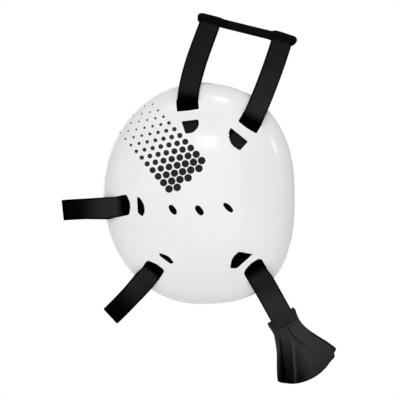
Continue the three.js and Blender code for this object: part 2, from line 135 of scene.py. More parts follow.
def noise(wire, scale, detail=2.0):
    """Noise from 0 to 1 on Object coordinates."""
    place = wire.node("TexCoord", output="Object")
    return wire.node("TexNoise", {}, {"Vector": place, "Scale": scale, "Detail": detail})


def axis(place, index):
    """One coordinate of a place: 0, 1 or 2 for X, Y or Z."""
    return place.node("SeparateXYZ", {}, {0: place}, output=index)


def new_finish(name, **fixed):
    """A material, its shader, and a wire of its tree. Even values go on the shader's own sockets."""
    material = bpy.data.materials.new(name)
    material.use_nodes = True
    shader = material.node_tree.nodes["Principled BSDF"]
    for key, value in fixed.items():
        shader.inputs[key.replace("_", " ")].default_value = value
    return material, shader, Wire(material.node_tree)


def bump(wire, height, distance, strength):
    """A relief, for a shader's Normal."""
    return wire.node("Bump", {}, {"Height": height, "Distance": distance, "Strength": strength})


studio_grey = (0.49, 0.49, 0.49, 1)
plain_white = (1, 1, 1, 1)
world = bpy.data.worlds.new("studio")
scene.world = world
world.use_nodes = True
sky = Wire(world.node_tree)
background = world.node_tree.nodes["Background"]
seen = sky.node("LightPath", output="Is Camera Ray")
mixed(seen, studio_grey, plain_white).feed(background.inputs["Color"])

guard_aim = (-0.03, 0.0, -0.10)
lights = [
    # name, place, aim, width, height, watts
    ("front_soft", (-0.26, -1.5, 0.10), guard_aim, 1.9, 1.9, 9.9),
    ("top_soft", (0.0, -0.5, 1.4), guard_aim, 1.0, 1.0, 2.6),
    ("far_soft", (-0.26, 1.5, 0.10), guard_aim, 1.9, 1.9, 8.0),
    ("crown_spot", (0.259, -0.30, 1.313), (-0.017, -0.096, -0.045), 0.24, 0.24, 1.05),
    ("dome_spot", (0.08, -1.76, 0.869), (-0.022, -0.110, -0.073), 0.26, 0.26, 1.05),
    ("cheek_strip", (1.087, -0.229, 0.453), (0.018, -0.099, -0.076), 0.06, 0.24, 0.6),
    ("nape_strip", (-0.498, -0.481, 1.11), (-0.052, -0.099, -0.050), 0.05, 0.24, 0.28),
]
for name, place, aim, width, height, watts in lights:
    lamp_data = bpy.data.lights.new(name, "AREA")
    lamp_data.shape = "ELLIPSE"
    lamp_data.size = width
    lamp_data.size_y = height
    lamp_data.energy = watts
    lamp = bpy.data.objects.new(name, lamp_data)
    lamp.location = place
    lamp.rotation_euler = (Vector(aim) - Vector(place)).to_track_quat("-Z", "Y").to_euler()
    lamp.visible_camera = False
    scene.collection.objects.link(lamp)

floor_half_side = 2.0
floor_height = -0.30
floor_finish, floor_shader, floor_wire = new_finish(
    "pale_floor", Roughness=0.9, Emission_Color=plain_white, Emission_Strength=0.105,
)
floor_grain = ease(noise(floor_wire, 3.0), 0.3, 0.7)
mixed(floor_grain, (0.86, 0.86, 0.86, 1), (0.90, 0.90, 0.90, 1)).feed(
    floor_shader.inputs["Base Color"]
)

floor_mesh = bpy.data.meshes.new("floor")
floor_bm = bmesh.new()
bmesh.ops.create_grid(floor_bm, x_segments=2, y_segments=2, size=floor_half_side)
bmesh.ops.translate(floor_bm, verts=floor_bm.verts, vec=(0.0, 0.0, floor_height))
floor_bm.to_mesh(floor_mesh)
floor_bm.free()
floor_mesh.materials.append(floor_finish)
floor = bpy.data.objects.new("floor", floor_mesh)
scene.collection.objects.link(floor)

# Ear shells. Each is one moulding in glossy white plastic, 3 mm thick, domed over the ear. Every strap
# has a slot in it, a bar that it passes under and a round-sided window behind that, and three slanting
# vents lie over the ear. A fading field of dots is printed on the upper rear.
guard_half_length = 0.065
guard_half_height = 0.075
corner_exponent = {"front_top": 2.3, "rear_top": 2.0, "rear_bottom": 2.0, "front_bottom": 2.7}
dome_depth = 0.036
dome_exponent = 2.4
shell_wall = 0.003
rim_offset = 0.080
guard_tilt = math.radians(6)
guard_middle = Vector((-0.0326, 0.0, -0.1084))

# A slot's far corners are tucked in. Slots and windows reach a little way under or behind the bars, and
# the mould's draft makes every opening a little wider on the outside.
slot_length = 0.009
slot_tuck_from = 0.7
slot_tuck = 0.0012
slot_under = 0.0007
window_step = 0.0005
window_squash = 0.95
mould_draft = 0.0004
corner_angle = 0.6
edge_round = 0.0006
sharp_angle = 42
crown_web = 0.0142
back_web = 0.0134
chin_web = 0.015
anchors = {
    # x and z place the bar's outer edge, in half lengths and half heights of the guard. leaves and runs
    # are the headings of the slot and of its strap, web is the strap's width, arch is how far the bar's
    # edge bows, corner is how round the slot is and bar is how broad the bar is.
    "crown_rear": {"x": -0.116, "z": 0.722, "leaves": 97, "runs": 95, "web": crown_web,
                   "arch": 0.0, "corner": 0.0008, "bar": 0.0077},
    "crown_front": {"x": 0.507, "z": 0.566, "leaves": 56, "runs": 62, "web": crown_web,
                    "arch": 0.0003, "corner": 0.0010, "bar": 0.0076},
    "back": {"x": -0.754, "z": -0.14, "leaves": 188, "runs": 188, "web": back_web,
             "arch": 0.0015, "corner": 0.0010, "bar": 0.0066},
    "nape": {"x": -0.453, "z": -0.692, "leaves": 239, "runs": 234, "web": back_web,
             "arch": 0.0006, "corner": 0.0018, "bar": 0.0060},
    "chin": {"x": 0.558, "z": -0.693, "leaves": -49, "runs": -58, "web": chin_web,
             "arch": 0.0012, "corner": 0.0030, "bar": 0.0057},
}
windows = {
    # corners: how far along the bar, how far behind it, and where the outline starts to turn
    "crown_rear": [
        (0.0050, 0.0, 0.0006), (-0.0058, 0.0, 0.0009), (-0.0058, 0.0046, 0.0026),
        (-0.0014, 0.0088, 0.0026), (0.0034, 0.0088, 0.0009),
    ],
    "crown_front": [
        (0.0087, -0.0005, 0.0010), (-0.0056, 0.0009, 0.0010), (-0.0046, 0.0092, 0.0010),
        (0.0016, 0.0092, 0.0026), (0.0076, 0.0044, 0.0026),
    ],
    "back": [
        (-0.0036, 0.0009, 0.0006), (-0.0030, 0.0024, 0.0010), (0.0008, 0.0043, 0.0020),
        (0.0068, 0.0048, 0.0026), (0.0094, 0.0025, 0.0008), (0.0066, 0.0, 0.0012),
    ],
    "nape": [
        (-0.0019, 0.0024, 0.0009), (0.0020, 0.0032, 0.0018), (0.0062, 0.0031, 0.0022),
        (0.0092, 0.0018, 0.0006), (0.0080, 0.0, 0.0010), (-0.0007, 0.0009, 0.0010),
    ],
    "chin": [
        (-0.0122, 0.0029, 0.0010), (-0.0074, 0.0068, 0.0026), (-0.0013, 0.0074, 0.0014),
        (0.0048, 0.0, 0.0004), (-0.0090, 0.0, 0.0012),
    ],
}
vent_exponent = 2.6
vents = [
    {"x": -0.272, "z": -0.196, "long": 0.0034, "wide": 0.0016, "slant": -56},
    {"x": 0.003, "z": -0.203, "long": 0.0034, "wide": 0.0018, "slant": -55},
    {"x": 0.302, "z": -0.177, "long": 0.0038, "wide": 0.0015, "slant": -44},
]


def outline_radius(angle):
    """How far the guard's outline is from its middle in a direction."""
    c, s = math.cos(angle), math.sin(angle)
    corner = ("front" if c >= 0 else "rear") + ("_top" if s >= 0 else "_bottom")
    n = corner_exponent[corner]
    return (abs(c / guard_half_length) ** n + abs(s / guard_half_height) ** n) ** (-1 / n)


def to_head(bm):
    """Moves a mesh from the left guard's own frame, whose Y is the height over the rim, to the head's."""
    turn = Matrix.Rotation(guard_tilt, 4, "X")
    place = Matrix.Translation(guard_middle + Vector((0.0, rim_offset, 0.0)))
    bmesh.ops.transform(bm, matrix=place @ turn, verts=bm.verts)


def mirrored(bm):
    """A mesh's mirror image on the other side of the head, with its faces still outwards."""
    other = bm.copy()
    bmesh.ops.scale(other, vec=(1.0, -1.0, 1.0), verts=other.verts)
    bmesh.ops.reverse_faces(other, faces=other.faces)
    return other


def piece(name, bm, finishes, nodes=()):
    """Puts a mesh in the scene as a piece on the headgear's one body."""
    mesh = bpy.data.meshes.new(name)
    bm.to_mesh(mesh)
    for finish in finishes:
        mesh.materials.append(finish)
    made = bpy.data.objects.new(name, mesh)
    scene.collection.objects.link(made)
    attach(made, "root")
    if nodes:
        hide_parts(*nodes)
    return made


def shaped(bm, steps):
    """The mesh after modifiers, each given as its kind and settings. Its two empty material slots are
    for an outside and an inside."""
    mesh = bpy.data.meshes.new("blank")
    bm.to_mesh(mesh)
    for _ in ("outside", "inside"):
        mesh.materials.append(None)
    blank = bpy.data.objects.new("blank", mesh)
    scene.collection.objects.link(blank)
    for kind, settings in steps:
        modifier = blank.modifiers.new(kind.lower(), kind)
        for key, value in settings.items():
            setattr(modifier, key, value)
    depsgraph = bpy.context.evaluated_depsgraph_get()
    result = bpy.data.meshes.new_from_object(blank.evaluated_get(depsgraph))
    made = bmesh.new()
    made.from_mesh(result)
    bpy.data.objects.remove(blank)
    bpy.data.meshes.remove(mesh)
    bpy.data.meshes.remove(result)
    return made


def smooth(bm, sharp_from):
    """Shades a mesh smooth, with edges sharper than an angle in degrees left sharp."""
    for face in bm.faces:
        face.smooth = True
    for edge in bm.edges:
        edge.smooth = edge.calc_face_angle(0.0) < math.radians(sharp_from)


def heading(angle):
    """The direction at an angle in degrees from +X towards +Z."""
    return Vector((math.cos(math.radians(angle)), math.sin(math.radians(angle))))


def add_cutter(bm, outline, rounded=0.0):
    """Adds a prism through the dome, with an outline in the guard's X and Z and rounded corners."""
    centre = sum(outline, Vector((0.0, 0.0))) / len(outline)
    drafted = [p + (p - centre).normalized() * mould_draft for p in outline]
    face = bm.faces.new([bm.verts.new((p.x, -dome_depth / 2, p.y)) for p in drafted])
    extruded = bmesh.ops.extrude_face_region(bm, geom=[face])["geom"]
    top = [part for part in extruded if isinstance(part, bmesh.types.BMVert)]
    bmesh.ops.translate(bm, verts=top, vec=(0.0, dome_depth * 2, 0.0))
    if rounded:
        uprights = [
            edge for vert in top for edge in vert.link_edges
            if abs(edge.verts[0].co.y - edge.verts[1].co.y) > dome_depth
            and edge.calc_face_angle(0.0) > corner_angle
        ]
        bmesh.ops.bevel(
            bm, geom=uprights, offset=rounded, segments=3, profile=0.5,
            affect="EDGES", material=-1, clamp_overlap=True,
        )


def slot_outline(anchor):
    """The slot of an anchor, in the guard's X and Z, from the bar's edge outwards."""
    edge = Vector((anchor["x"] * guard_half_length, anchor["z"] * guard_half_height))
    out = heading(anchor["leaves"])
    across = Vector((-out.y, out.x))
    half = anchor["web"] / 2
    slope = math.tan(math.radians(anchor["runs"] - anchor["leaves"]))
    turn = slot_length * slot_tuck_from
    outline = [
        (turn, slope * turn - half), (slot_length, slope * slot_length - half + slot_tuck),
        (slot_length, slope * slot_length + half - slot_tuck), (turn, slope * turn + half),
    ]
    steps = 8
    for k in range(steps + 1):
        share = 1 - 2 * k / steps
        outline.append((-slot_under - anchor["arch"] * (1 - share ** 2), share * half))
    return [edge + out * along + across * side for along, side in outline]


def window_outline(anchor, corners):
    """The window behind an anchor's bar, with each corner turned by a quadratic curve."""
    edge = Vector((anchor["x"] * guard_half_length, anchor["z"] * guard_half_height))
    out = heading(anchor["leaves"])
    across = Vector((-out.y, out.x))
    start = anchor["bar"] + window_step
    places = [
        edge - out * (start + behind * window_squash) + across * side for side, behind, _ in corners
    ]
    outline = []
    steps = 4
    for i, place in enumerate(places):
        first, last = (
            place.lerp(other, min(corners[i][2] / (other - place).length, 0.5))
            for other in (places[i - 1], places[(i + 1) % len(places)])
        )
        for k in range(steps + 1):
            share = k / steps
            outline.append(first.lerp(place, share).lerp(place.lerp(last, share), share))
    return outline


def vent_outline(vent):
    """A slanting vent, as an oval with flattened sides."""
    centre = Vector((vent["x"] * guard_half_length, vent["z"] * guard_half_height))
    along = heading(vent["slant"])
    across = Vector((-along.y, along.x))
    sides = 28
    outline = []
    for i in range(sides):
        c, s = math.cos(i / sides * 2 * math.pi), math.sin(i / sides * 2 * math.pi)
        square = (abs(c) ** vent_exponent + abs(s) ** vent_exponent) ** (-1 / vent_exponent)
        outline.append(centre + (along * vent["long"] * c + across * vent["wide"] * s) * square)
    return outline


dome = bmesh.new()
rings = 46
previous = None
for ring in range(rings + 1):
    climb = ring / rings * math.pi / 2
    share = max(math.cos(climb), 0.0) ** (2 / dome_exponent)
    height = dome_depth * math.sin(climb) ** (2 / dome_exponent)
    vert = dome.verts.new((share if ring < rings else 0.0, height, 0.0))
    if previous:
        dome.edges.new((previous, vert))
    previous = vert
bmesh.ops.spin(
    dome, geom=dome.verts[:] + dome.edges[:], cent=(0, 0, 0), axis=(0, 1, 0),
    angle=2 * math.pi, steps=176, use_merge=True,
)
bmesh.ops.remove_doubles(dome, verts=dome.verts, dist=1e-6)
for vert in dome.verts:
    if math.hypot(vert.co.x, vert.co.z) > 1e-6:
        radius = outline_radius(math.atan2(vert.co.z, vert.co.x))
        vert.co.x *= radius
        vert.co.z *= radius
bmesh.ops.recalc_face_normals(dome, faces=dome.faces)
if sum(face.normal.y for face in dome.faces) < 0:
    bmesh.ops.reverse_faces(dome, faces=dome.faces)

cutters = bmesh.new()
for name, anchor in anchors.items():
    add_cutter(cutters, slot_outline(anchor), rounded=anchor["corner"])
    add_cutter(cutters, window_outline(anchor, windows[name]))
for vent in vents:
    add_cutter(cutters, vent_outline(vent))
bmesh.ops.recalc_face_normals(cutters, faces=cutters.faces)
cutter_mesh = bpy.data.meshes.new("cutters")
cutters.to_mesh(cutter_mesh)
cutter_object = bpy.data.objects.new("cutters", cutter_mesh)
scene.collection.objects.link(cutter_object)
shell = shaped(dome, [
    ("SOLIDIFY", {
        "thickness": shell_wall, "offset": -1.0, "use_even_offset": True,
        "material_offset": 1, "material_offset_rim": 0,
    }),
    ("BOOLEAN", {"operation": "DIFFERENCE", "solver": "EXACT", "object": cutter_object}),
    ("BEVEL", {
        "width": edge_round, "segments": 2, "limit_method": "ANGLE",
        "angle_limit": math.radians(sharp_angle), "use_clamp_overlap": True,
    }),
])
bpy.data.objects.remove(cutter_object)
bpy.data.meshes.remove(cutter_mesh)
to_head(shell)
smooth(shell, sharp_angle)

print_pitch = 0.0056
print_length = 0.062
print_half_width = 0.0150
print_share = (-0.01, 0.93)
print_start = Vector((-0.040, 0.0, -0.098))
print_slant = 49
dot_radius = (0.0026, 0.0004)
dot_edge = 0.00008


def dot_field(wire, along, across, start):
    """One lattice of printed dots, which shrink along the field. start moves it by half a cell."""
    tall = print_pitch * math.sqrt(3)
    a = along / print_pitch + start
    b = across / tall + start
    a_cell = wire.maths("ROUND", a)
    b_cell = wire.maths("ROUND", b)
    off_a = (a - a_cell) * print_pitch
    off_b = (b - b_cell) * tall
    distance = wire.maths("SQRT", off_a * off_a + off_b * off_b)
    share = (a_cell - start) * (print_pitch / print_length)
    row = wire.maths("ABSOLUTE", (b_cell - start) * tall)
    inside = wire.maths("LESS_THAN", row, print_half_width)
    inside = inside * wire.maths("GREATER_THAN", share, print_share[0])
    radius = ease(share, 0.0, 1.0, *dot_radius) * wire.maths("LESS_THAN", share, print_share[1])
    return ease(radius - distance, -dot_edge, dot_edge) * inside, share


printed_white, plastic_shader, plastic_wire = new_finish(
    "printed_white_plastic", Roughness=0.14, Specular_IOR_Level=0.4,
)
cloud = ease(noise(plastic_wire, 26.0, 3.0), 0.3, 0.7)
mixed(cloud, (0.86, 0.86, 0.855, 1), (0.89, 0.89, 0.885, 1)).feed(plastic_shader.inputs["Base Color"])
gloss = 0.11 + ease(noise(plastic_wire, 45.0, 4.0), 0.25, 0.75) * 0.06
gloss.feed(plastic_shader.inputs["Roughness"])
waves = noise(plastic_wire, 22.0, 1.0) * 0.9 + noise(plastic_wire, 900.0, 2.0) * 0.02
bump(plastic_wire, waves, 0.0006, 0.5).feed(plastic_shader.inputs["Normal"])

print_place = plastic_wire.node("Mapping", {"vector_type": "TEXTURE"}, {
    "Vector": plastic_wire.node("TexCoord", output="Object"),
    "Location": print_start,
    "Rotation": (0.0, math.radians(180 + print_slant), 0.0),
})
print_along, print_across = axis(print_place, 0), axis(print_place, 2)
first_dots, _ = dot_field(plastic_wire, print_along, print_across, 0.0)
second_dots, print_fade = dot_field(plastic_wire, print_along, print_across, 0.5)
dots = plastic_wire.maths("MAXIMUM", first_dots, second_dots)
ink = plastic_wire.node("BsdfPrincipled", {}, {
    "Base Color": mixed(ease(print_fade, 0.1, 1.0), (0.012, 0.012, 0.012, 1), (0.05, 0.05, 0.05, 1)),
    "Roughness": 0.55,
    "Specular IOR Level": 0.12,
})
plastic = Wire(plastic_wire.tree, plastic_shader.outputs[0])
plastic_wire.node("MixShader", {}, {0: dots, 1: plastic, 2: ink}).feed(
    plastic_wire.tree.nodes["Material Output"].inputs["Surface"]
)

foam, foam_shader, foam_wire = new_finish("black_foam", Roughness=0.8, Specular_IOR_Level=0.05)
cells = foam_wire.node("TexVoronoi", {}, {
    "Vector": foam_wire.node("TexCoord", output="Object"), "Scale": 1100.0,
}, output="Distance")
foam_tone = ease(noise(foam_wire, 60.0, 3.0), 0.3, 0.75)
mixed(foam_tone, (0.010, 0.010, 0.011, 1), (0.022, 0.022, 0.023, 1)).feed(
    foam_shader.inputs["Base Color"]
)
(0.72 + foam_tone * 0.15).feed(foam_shader.inputs["Roughness"])
foam_relief = cells * 0.6 + noise(foam_wire, 240.0, 2.0) * 0.6
bump(foam_wire, foam_relief, 0.0004, 0.6).feed(foam_shader.inputs["Normal"])

shell_finishes = [printed_white, foam]
piece("ear_shell_moulding_left", shell, shell_finishes, ["ear_shell_left"])
piece("ear_shell_moulding_right", mirrored(shell), shell_finishes, ["ear_shell_right"])

# Vent cloths. A patch of black cloth is glued inside each shell, behind its three vents, and keeps
# the sight out: it is a near-black sheet that puts painted shade in the vents. It follows the inside of
# the dome.
cloth_middle = Vector((0.0015, 0.0, -0.0148))
cloth_half_length = 0.034
cloth_half_height = 0.010
cloth_thick = 0.0007
cloth_gap = 0.0003

cloth = bmesh.new()
bmesh.ops.create_grid(cloth, x_segments=34, y_segments=12, size=1.0)
for vert in cloth.verts:
    u, v = vert.co.x, vert.co.y
    x = cloth_middle.x + cloth_half_length * u * math.sqrt(1 - v * v / 2)
    z = cloth_middle.z + cloth_half_height * v * math.sqrt(1 - u * u / 2)
    share = math.hypot(x, z) / outline_radius(math.atan2(z, x))
    height = dome_depth * (1 - share ** dome_exponent) ** (1 / dome_exponent)
    vert.co = Vector((x, height - shell_wall - cloth_gap, z))
bmesh.ops.recalc_face_normals(cloth, faces=cloth.faces)
if sum(face.normal.y for face in cloth.faces) < 0:
    bmesh.ops.reverse_faces(cloth, faces=cloth.faces)
cloth = shaped(cloth, [("SOLIDIFY", {"thickness": cloth_thick, "offset": -1.0})])
to_head(cloth)
smooth(cloth, 40)

# Painted shade: the knit is nearly pure black, for the shade seen through the vents.
knit, knit_shader, knit_wire = new_finish("black_knit", Roughness=0.9, Specular_IOR_Level=0.0)
loops = noise(knit_wire, 900.0, 2.0)
mixed(loops, (0.001, 0.001, 0.001, 1), (0.005, 0.005, 0.005, 1)).feed(
    knit_shader.inputs["Base Color"]
)
bump(knit_wire, loops, 0.0002, 0.6).feed(knit_shader.inputs["Normal"])
piece("vent_cloth_left", cloth, [knit])
piece("vent_cloth_right", mirrored(cloth), [knit])

# Ear pads. A ring of soft closed-cell foam is glued inside the rim of each shell and stands proud of it
# towards the head, so that it seals round the ear.
pad_proud = 0.008
pad_seat = 0.007
pad_clear = 0.0011
pad_opening_half_length = 0.036
pad_opening_half_height = 0.046
pad_swell_room = 0.0014
pad_swell_most = 0.0022
pad_corner = 0.0045
corner_inset = 0.06
corner_share = 0.20
pad_voxel = 0.004


def ring_radius(angle, share):
    """The pad's radius in a direction, from its opening at share 0 to its outside at share 1."""
    outer = outline_radius(angle) - shell_wall - pad_clear
    c = math.cos(angle) / pad_opening_half_length
    s = math.sin(angle) / pad_opening_half_height
    inner = 1 / math.hypot(c, s)
    return inner + (outer - inner) * share


pad = bmesh.new()
low, high = -pad_proud + pad_swell_room, pad_seat - pad_swell_room
section = []
for across, height, start in ((1, low, 270), (1, high, 0), (0, high, 90), (0, low, 180)):
    side = -1 if across else 1
    rise = -1 if height > 0 else 1
    for step in range(5):
        turn = math.radians(start + 22.5 * step)
        section.append((
            across + side * corner_inset + corner_share * (side + math.cos(turn)),
            height + pad_corner * (rise + math.sin(turn)),
        ))
verts = [pad.verts.new((1 + share, height, 0.0)) for share, height in section]
for i, vert in enumerate(verts):
    pad.edges.new((vert, verts[(i + 1) % len(verts)]))
bmesh.ops.spin(
    pad, geom=pad.verts[:] + pad.edges[:], cent=(0, 0, 0), axis=(0, 1, 0),
    angle=2 * math.pi, steps=120, use_merge=True,
)
for vert in pad.verts:
    angle = math.atan2(vert.co.z, vert.co.x)
    share = math.hypot(vert.co.x, vert.co.z) - 1
    radius = ring_radius(angle, share)
    vert.co.x = radius * math.cos(angle)
    vert.co.z = radius * math.sin(angle)
bmesh.ops.remove_doubles(pad, verts=pad.verts, dist=1e-6)
bmesh.ops.recalc_face_normals(pad, faces=pad.faces)


def swell(bm, cap):
    """Swells the foam under pressure, with no point moved further than cap."""
    mesh = bpy.data.meshes.new("foam_blank")
    bm.to_mesh(mesh)
    blank = bpy.data.objects.new("foam_blank", mesh)
    scene.collection.objects.link(blank)
    settings = blank.modifiers.new("pressure", "CLOTH").settings
    settings.use_pressure = True
    settings.uniform_pressure_force = 4
    settings.effector_weights.gravity = 0
    before = [v.co.copy() for v in mesh.vertices]
    for step in range(1, 21):
        scene.frame_set(step)
    depsgraph = bpy.context.evaluated_depsgraph_get()
    after = blank.evaluated_get(depsgraph).to_mesh()
    bm.verts.ensure_lookup_table()
    for vert, old, new in zip(bm.verts, before, after.vertices):
        move = new.co - old
        if move.length > cap:
            move = move.normalized() * cap
        vert.co = old + move
    bpy.data.objects.remove(blank)
    bpy.data.meshes.remove(mesh)
    scene.frame_set(1)


pad = shaped(pad, [("REMESH", {"mode": "VOXEL", "voxel_size": pad_voxel, "use_smooth_shade": True})])
swell(pad, pad_swell_most)
for vert in pad.verts:
    angle = math.atan2(vert.co.z, vert.co.x)
    radius = math.hypot(vert.co.x, vert.co.z)
    most = ring_radius(angle, 1.0)
    if radius > most:
        vert.co.x *= most / radius
        vert.co.z *= most / radius
    vert.co.y = max(min(vert.co.y, pad_seat), -pad_proud)
pad = shaped(pad, [("SUBSURF", {"levels": 1, "render_levels": 1})])
to_head(pad)
smooth(pad, 80)
for side, bm in (("left", pad), ("right", mirrored(pad))):
    made = piece(f"ear_foam_ring_{side}", bm, [foam], [f"ear_pad_{side}"])

# Straps. All are flat woven polyester webbing, 1.6 mm thick, with fine ribs across and firm edges. Each
# is threaded out of the shells through the slots, which squeeze it a little. Its line is read from the
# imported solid: rows of four corners from one end to the other.


def strap_rows(node):
    """The strap's solid as rows of four corners, from one end to the other."""
    solid = bmesh.new()
    solid.from_mesh(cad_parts[node].data)
    bmesh.ops.remove_doubles(solid, verts=solid.verts, dist=1e-5)
    for edge in solid.edges:
        rows = [{v for face in edge.link_faces for v in face.verts}]
        seen = set(rows[0])
        while rows[-1]:
            reached = {e.other_vert(v) for v in rows[-1] for e in v.link_edges} - seen
            rows.append(reached)
            seen |= reached
        if all(len(row) == 4 for row in rows[:-1]) and len(rows) > 8:
            return [[v.co.copy() for v in row] for row in rows[:-1]]
    raise ValueError(f"{node} has no end with four corners")


def strap_line(node):
    """The middle of the strap and its half width, as vectors, for each of its rows."""
    middles, sides = [], []
    for corners in strap_rows(node):
        first = corners[0]
        mate = min(corners[1:], key=lambda c: (c - first).length)
        others = [c for c in corners[1:] if c is not mate]
        side = (others[0] + others[1] - first - mate) / 4
        if sides and side.dot(sides[-1]) < 0:
            side = -side
        middles.append(sum(corners, Vector()) / 4)
        sides.append(side)
    return middles, sides


def curved(points, at, share):
    """A point between two of a row, on a smooth curve through them all."""
    four = [points[min(max(at + k, 0), len(points) - 1)] for k in (-1, 0, 1, 2)]
    if at == 0:
        four[0] = four[1] * 2 - four[2]
    if at + 2 >= len(points):
        four[3] = four[2] * 2 - four[1]
    knots = [0.0]
    for a, b in zip(four, four[1:]):
        knots.append(knots[-1] + max((b - a).length, 1e-7) ** 0.5)
    place = knots[1] + (knots[2] - knots[1]) * share
    row = four
    for spans in (((0, 1), (1, 2), (2, 3)), ((0, 2), (1, 3)), ((1, 2),)):
        row = [
            row[i].lerp(row[i + 1], (place - knots[start]) / (knots[end] - knots[start]))
            for i, (start, end) in enumerate(spans)
        ]
    return row[0]


def eased(value, low, high):
    """A soft step from 0, at low, to 1, at high."""
    share = min(max((value - low) / (high - low), 0.0), 1.0)
    return share * share * (3 - 2 * share)


def blend(start, end, share):
    """A value that is a share of the way from start to end."""
    return start + (end - start) * share


web_thick = 0.0016
rib_pitch = 0.0014
cord_width = 0.0011
frame_pitch = 0.0018
flat_steps = 8

# Past the slot the webbing spreads over free_reach, and it is narrower again at narrow_reach.
free_reach = (0.006, 0.016)
narrow_reach = 0.060


def webbing_strap(node, tail, one_end, near, far):
    """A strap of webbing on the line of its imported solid, and the frames along it. Its reach is how far
    it has come from the end of its tail, at the edge of the slot. near and far are how much wider its
    upper and its lower half are than in the slot, where it has just left the slot and further on."""
    middles, sides = strap_line(node)
    if one_end and abs(middles[0].y) < abs(middles[-1].y):
        middles, sides = middles[::-1], sides[::-1]
    whole = sum((b - a).length for a, b in zip(middles, middles[1:]))
    upper_sign = math.copysign(1.0, sides[0].z)
    places = []
    for at in range(len(middles) - 1):
        cuts = max(1, round((middles[at + 1] - middles[at]).length / frame_pitch))
        for cut in range(cuts):
            share = cut / cuts
            places.append((curved(middles, at, share), sides[at].lerp(sides[at + 1], share)))
    places.append((middles[-1], sides[-1]))

    round_edge = web_thick / 2
    flat = sides[0].length - round_edge
    profile = []
    for sign, turns in ((1.0, (45, 90, 135)), (-1.0, (225, 270, 315))):
        profile += [(sign * (2 * k / flat_steps - 1), sign, 0.0) for k in range(flat_steps + 1)]
        profile += [(sign, math.cos(math.radians(turn)), math.sin(math.radians(turn))) for turn in turns]

    bm = bmesh.new()
    along_layer = bm.verts.layers.float.new("along")
    across_layer = bm.verts.layers.float.new("across")
    reach_layer = bm.verts.layers.float.new("reach")
    frames = []
    length = 0.0
    before = None
    for i, (middle, side) in enumerate(places):
        along = (places[min(i + 1, len(places) - 1)][0] - places[max(i - 1, 0)][0]).normalized()
        out = along.cross(side).normalized()
        across = out.cross(along).normalized()
        if i:
            length += (middle - places[i - 1][0]).length
        frames.append({"middle": middle, "across": across, "out": out, "length": length})
        reach = (length if one_end else min(length, whole - length)) - tail
        freed = eased(reach, *free_reach)
        further = min(max((reach - free_reach[1]) / (narrow_reach - free_reach[1]), 0.0), 1.0)
        ring = []
        for share, face, edge in profile:
            half = 0 if share * upper_sign > 0 else 1
            spread = blend(near[half], far[half], further) * freed
            offset = share * flat + edge * round_edge
            height = face * round_edge
            vert = bm.verts.new(middle + across * (offset + share * spread) + out * height)
            vert[along_layer] = length
            vert[across_layer] = offset
            vert[reach_layer] = reach
            ring.append(vert)
        edges = [bm.edges.new((ring[k], ring[(k + 1) % len(ring)])) for k in range(len(ring))]
        if before:
            bmesh.ops.bridge_loops(bm, edges=before + edges)
        else:
            bmesh.ops.contextual_create(bm, geom=edges)
        before = edges
    bmesh.ops.contextual_create(bm, geom=before)
    bmesh.ops.recalc_face_normals(bm, faces=bm.faces)
    smooth(bm, 60)
    return bm, frames


# Where each tone of the webbing starts and is full, painted shade among them: how far inside its edge,
# how far before the end that is sewn down, how far from its middle line, on its reach for the painted
# tone inside the shell, and how far from the headgear's middle for the crown straps, which have painted
# shade beside the bar.
firm_edge = (0.0014, 0.0006)
firm_edge_end = (0.013, 0.009)
end_shade_start = (0.0022, 0.0017)
end_shade_stop = (0.0012, 0.0008)
end_shade_half_width = (0.0030, 0.0050)
tail_reach = (-0.0070, -0.0045)
bar_shade = (0.0238, 0.0256)


